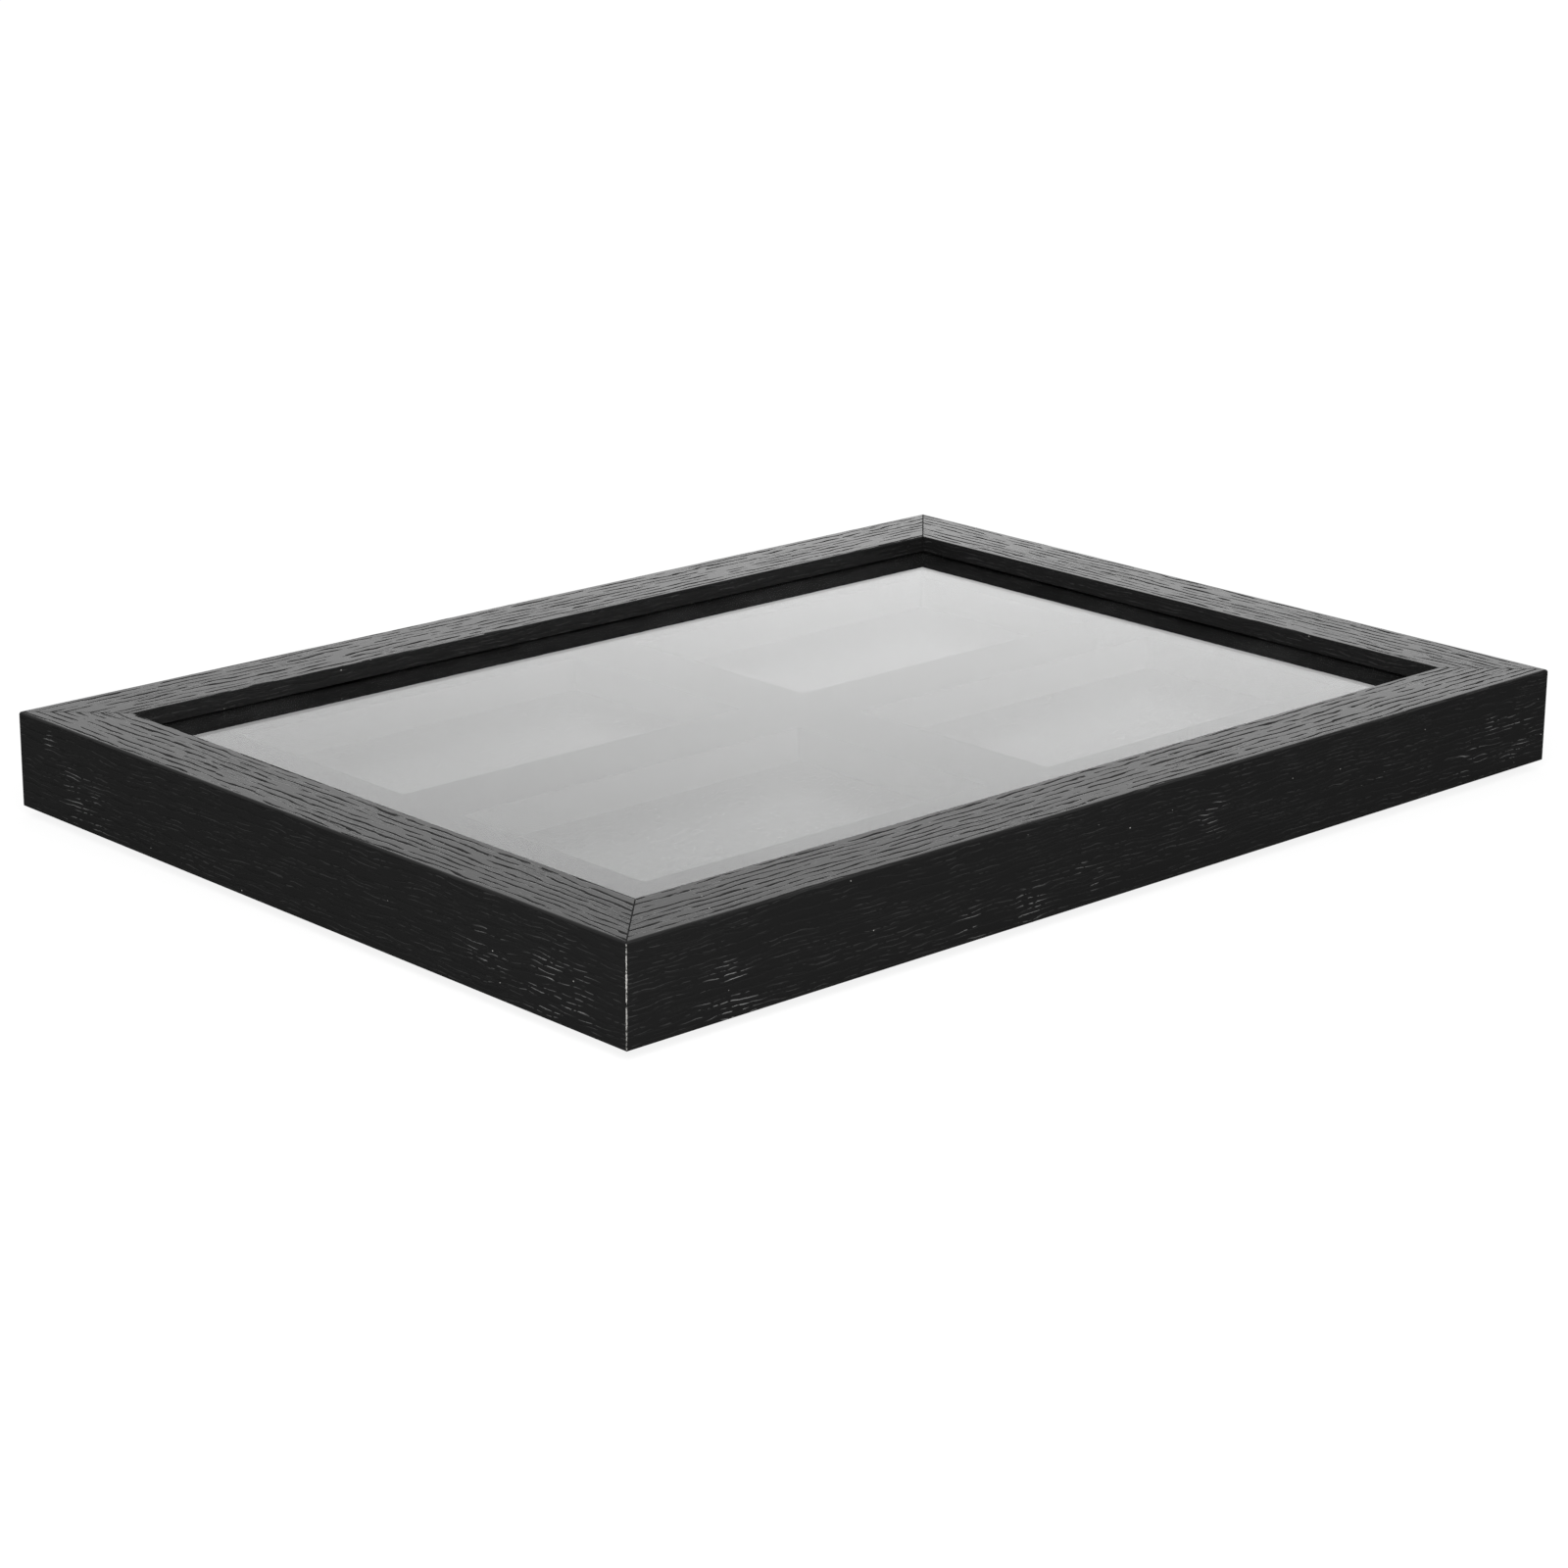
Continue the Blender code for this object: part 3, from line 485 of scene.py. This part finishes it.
def zinc_plated_steel():
    """Stamped steel, zinc plated: a cool grey metal, a little cloudy, with fine rolling lines."""
    material, tree, shader, place = new_finish("zinc_plated_steel", {"Metallic": 1.0})
    cloud = add_node(tree, "VectorMath", {0: place, "Scale": 1 / ZINC_CLOUD}, operation="SCALE")
    clouds = add_node(tree, "TexNoise", {"Vector": cloud, "Scale": 1.0, "Detail": 3.0})
    colour = add_node(tree, "Mix", {
        "Factor": clouds, "A": linear("#A9ADB2"), "B": linear("#C9CCCE")}, "Result",
        data_type="RGBA")
    tree.links.new(colour, shader.inputs["Base Color"])
    streak = add_node(tree, "VectorMath", {0: place, 1: ZINC_ROLLING_LINE}, operation="DIVIDE")
    lines = add_node(tree, "TexNoise", {"Vector": streak, "Scale": 1.0, "Detail": 2.0})
    roughness = add_node(tree, "MapRange", {
        "Value": lines, "From Min": NOISE_LOW, "From Max": NOISE_HIGH,
        "To Min": 0.24, "To Max": 0.42})
    tree.links.new(roughness, shader.inputs["Roughness"])
    relief = add_node(tree, "Bump", {
        "Height": lines, "Distance": ZINC_LINE_DEPTH, "Strength": 0.5})
    tree.links.new(relief, shader.inputs["Normal"])
    return material


def black_rubber():
    """Moulded rubber: near black, dull, with a fine spark-eroded grain."""
    material, tree, shader, place = new_finish("black_rubber", {
        "IOR": 1.52, "Specular IOR Level": 0.4})
    grain = add_node(tree, "VectorMath", {0: place, "Scale": 1 / RUBBER_GRAIN}, operation="SCALE")
    speckle = add_node(tree, "TexNoise", {"Vector": grain, "Scale": 1.0, "Detail": 2.0})
    colour = add_node(tree, "Mix", {
        "Factor": speckle, "A": linear("#131313"), "B": linear("#202020")}, "Result",
        data_type="RGBA")
    tree.links.new(colour, shader.inputs["Base Color"])
    roughness = add_node(tree, "MapRange", {"Value": speckle, "To Min": 0.6, "To Max": 0.85})
    tree.links.new(roughness, shader.inputs["Roughness"])
    relief = add_node(tree, "Bump", {
        "Height": speckle, "Distance": RUBBER_GRAIN_DEPTH, "Strength": 1.0})
    tree.links.new(relief, shader.inputs["Normal"])
    return material


def body_that_carries(node):
    """Name of the CAD body that a node belongs to."""
    bodies = frame["record"]["behaviour"]["bodies"]
    return next(body for body, members in bodies.items() if node in members)


def close_mitres(bm, node):
    """Bring a rail's mitres up to its neighbours', with a fine groove round the seen edges."""
    low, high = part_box(node)
    along, across = (0, 1) if high.x - low.x > high.y - low.y else (1, 0)
    tip = high[along] + MITRE_GAP_ALONG
    outer = max(abs(low[across]), abs(high[across]))
    ends = set()
    for vertex in bm.verts:
        from_mitre = (tip - abs(vertex.co[along])) - (outer - abs(vertex.co[across]))
        if abs(from_mitre - MITRE_GAP_ALONG) < MITRE_TOLERANCE:
            ends.add(vertex)
    for vertex in ends:
        vertex.co[along] += math.copysign(MITRE_GAP_ALONG - MITRE_TOLERANCE, vertex.co[along])
    grooved = []
    for edge in bm.edges:
        if not ends.issuperset(edge.verts):
            continue
        middle = (edge.verts[0].co + edge.verts[1].co) / 2
        depth = outer - abs(middle[across])
        if middle.z > high.z - LIP_THICKNESS or depth < MITRE_TOLERANCE:
            grooved.append(edge)
    bmesh.ops.bevel(bm, geom=grooved, offset=MITRE_GROOVE, offset_type="OFFSET",
                    segments=1, profile=0.5, affect="EDGES")


def welded_copy(node):
    """Mesh of a CAD node with its faces joined, so that edges can be eased and rounds shaded."""
    bm = bmesh.new()
    bm.from_mesh(frame["nodes"][node].data)
    bmesh.ops.remove_doubles(bm, verts=bm.verts, dist=WELD_DISTANCE)
    bmesh.ops.dissolve_limit(bm, angle_limit=FLAT_ANGLE, verts=bm.verts, edges=bm.edges)
    if node.endswith("_rail"):
        close_mitres(bm, node)
    mesh = bpy.data.meshes.new(f"finished_{node}")
    bm.to_mesh(mesh)
    bm.free()
    mesh.shade_smooth()
    mesh.set_sharp_from_angle(angle=SHARP_ANGLE)
    return mesh


def finish_piece(node, material, easing):
    """Finished piece in place of a CAD node, on the same body."""
    mesh = welded_copy(node)
    mesh.materials.append(material)
    piece = bpy.data.objects.new(f"finished_{node}", mesh)
    bpy.context.scene.collection.objects.link(piece)
    if easing:
        ease = piece.modifiers.new("eased_edges", "BEVEL")
        ease.width = easing
        ease.segments = EASING_SEGMENTS
        ease.limit_method = "ANGLE"
        ease.angle_limit = SHARP_ANGLE
    shading = piece.modifiers.new("flat_faces_stay_flat", "WEIGHTED_NORMAL")
    shading.keep_sharp = True
    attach(piece, body_that_carries(node))
    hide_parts(node)


def finish_all_pieces():
    """Give every node its finish; all steel fittings get the same finely eased edges."""
    lengthwise = black_stained_oak("black_stained_oak_lengthwise", 0.0)
    crosswise = black_stained_oak("black_stained_oak_crosswise", math.pi / 2)
    for node in ("top_rail", "bottom_rail"):
        finish_piece(node, lengthwise, 0.0)
    for node in ("left_rail", "right_rail"):
        finish_piece(node, crosswise, 0.0)
    finish_piece("acrylic_panel", clear_acrylic(), 0.0)
    foam = black_foam()
    finish_piece("foam_pocket_layer", foam, FOAM_EASING)
    finish_piece("foam_base_layer", foam, FOAM_EASING)
    finish_piece("back_board", brown_fibreboard(), SHEET_EASING)
    card = black_card()
    steel = zinc_plated_steel()
    rubber = black_rubber()
    for node in sorted(frame["nodes"]):
        if node.startswith("pocket_liner"):
            finish_piece(node, card, 0.0)
        if node.startswith(("turn_button", "corner_nail", "hanger")):
            finish_piece(node, steel, STAMPED_EASING)
        if node.startswith("bumper"):
            finish_piece(node, rubber, 0.0)


def add_floor():
    """Floor that its glow makes near white to the camera, with a faint shadow of the frame."""
    half = FLOOR_SIZE / 2
    mesh = bpy.data.meshes.new("floor")
    mesh.from_pydata([(-half, -half, 0), (half, -half, 0), (half, half, 0), (-half, half, 0)],
                     [], [(0, 1, 2, 3)])
    floor = bpy.data.objects.new("floor", mesh)
    bpy.context.scene.collection.objects.link(floor)

    material = bpy.data.materials.new("pale_floor")
    material.use_nodes = True
    tree = material.node_tree
    tree.nodes.clear()
    paint = add_node(tree, "BsdfDiffuse", {"Color": linear(FLOOR_PAINT)})
    place = add_node(tree, "TexCoord", {}, "Object")
    from_frame = add_node(tree, "VectorMath", {0: place}, "Value", operation="LENGTH")
    level = add_node(tree, "MapRange", {
        "Value": from_frame, "From Min": FLOOR_NEAR, "From Max": FLOOR_AFAR,
        "To Min": FLOOR_GLOW, "To Max": FLOOR_GLOW_AFAR}, interpolation_type="SMOOTHSTEP")
    seen = add_node(tree, "LightPath", {}, "Is Camera Ray")
    strength = add_node(tree, "Math", {0: seen, 1: level}, operation="MULTIPLY")
    glow = add_node(tree, "Emission", {"Strength": strength})
    surface = add_node(tree, "AddShader", {0: paint, 1: glow})
    add_node(tree, "OutputMaterial", {"Surface": surface}, None)
    mesh.materials.append(material)


def light_world():
    """White to the camera, a glowing wall to mirrors and clear sheets, and soft light to all."""
    world = bpy.data.worlds.new("studio")
    bpy.context.scene.world = world
    world.use_nodes = True
    tree = world.node_tree
    tree.nodes.clear()
    rays = add_node(tree, "LightPath", {}).node.outputs
    mirrored = add_node(tree, "Math", {0: rays["Is Glossy Ray"], 1: rays["Is Transmission Ray"]},
                        operation="MAXIMUM")
    direction = add_node(tree, "TexCoord", {}, "Generated")
    height = add_node(tree, "VectorMath", {0: direction, 1: WALL_UPRIGHT}, "Value",
                      operation="DOT_PRODUCT")
    wall = add_node(tree, "MapRange", {
        "Value": height, "From Min": WALL_LOW, "From Max": WALL_HIGH,
        "To Min": WALL_GLOW, "To Max": 1.0}, interpolation_type="SMOOTHSTEP")
    sideways = add_node(tree, "VectorMath", {0: direction, 1: WALL_SIDEWAYS}, "Value",
                        operation="DOT_PRODUCT")
    to_side = add_node(tree, "Math", {0: sideways}, operation="ABSOLUTE")
    share = add_node(tree, "MapRange", {
        "Value": to_side, "To Min": 1.0, "To Max": WALL_SIDE_SHARE})
    bright_wall = add_node(tree, "Math", {0: wall, 1: share}, operation="MULTIPLY")
    others = add_node(tree, "MapRange", {"Value": rays["Is Camera Ray"], "To Min": WORLD_LIGHT})
    strength = add_node(tree, "Mix", {"Factor": mirrored, "A": others, "B": bright_wall}, "Result",
                        data_type="FLOAT")
    white = add_node(tree, "Background", {"Color": linear("#FFFFFF"), "Strength": strength})
    add_node(tree, "OutputWorld", {"Surface": white}, None)


def add_soft_light(name, place, size, radiance):
    """Rectangular soft light that faces the frame and shows neither to the camera nor in gloss."""
    lamp = bpy.data.lights.new(name, "AREA")
    lamp.shape = "RECTANGLE"
    lamp.size, lamp.size_y = size
    lamp.energy = radiance * math.pi * size[0] * size[1]
    light = bpy.data.objects.new(name, lamp)
    bpy.context.scene.collection.objects.link(light)
    light.location = place
    towards = Vector(LAMP_TARGET) - Vector(place)
    light.rotation_euler = towards.to_track_quat("-Z", "Y").to_euler()
    light.visible_camera = False
    light.visible_glossy = False
    return light


def add_camera():
    """Camera at the photograph's place, direction and field of view."""
    lens = bpy.data.cameras.new("camera")
    lens.sensor_width = SENSOR_WIDTH
    lens.lens = FOCAL_PIXELS / PHOTO_PIXELS * SENSOR_WIDTH
    lens.clip_start = CAMERA_CLIP_START
    camera = bpy.data.objects.new("camera", lens)
    bpy.context.scene.collection.objects.link(camera)
    heading = Matrix.Rotation(-CAMERA_HEADING, 4, "Z")
    pitch = Matrix.Rotation(math.pi / 2 - CAMERA_PITCH, 4, "X")
    roll = Matrix.Rotation(CAMERA_ROLL, 4, "Z")
    camera.matrix_world = Matrix.Translation(CAMERA_PLACE) @ heading @ pitch @ roll
    bpy.context.scene.camera = camera


finish_all_pieces()
add_floor()
light_world()
add_soft_light("overhead_light", OVERHEAD_PLACE, OVERHEAD_SIZE, OVERHEAD_RADIANCE)
front_light = add_soft_light("front_light", FRONT_PLACE, FRONT_SIZE, FRONT_RADIANCE)
# The front light is for the oak alone, so nothing sees it through the acrylic
front_light.visible_transmission = False
add_camera()
bpy.context.scene.view_settings.view_transform = "Standard"
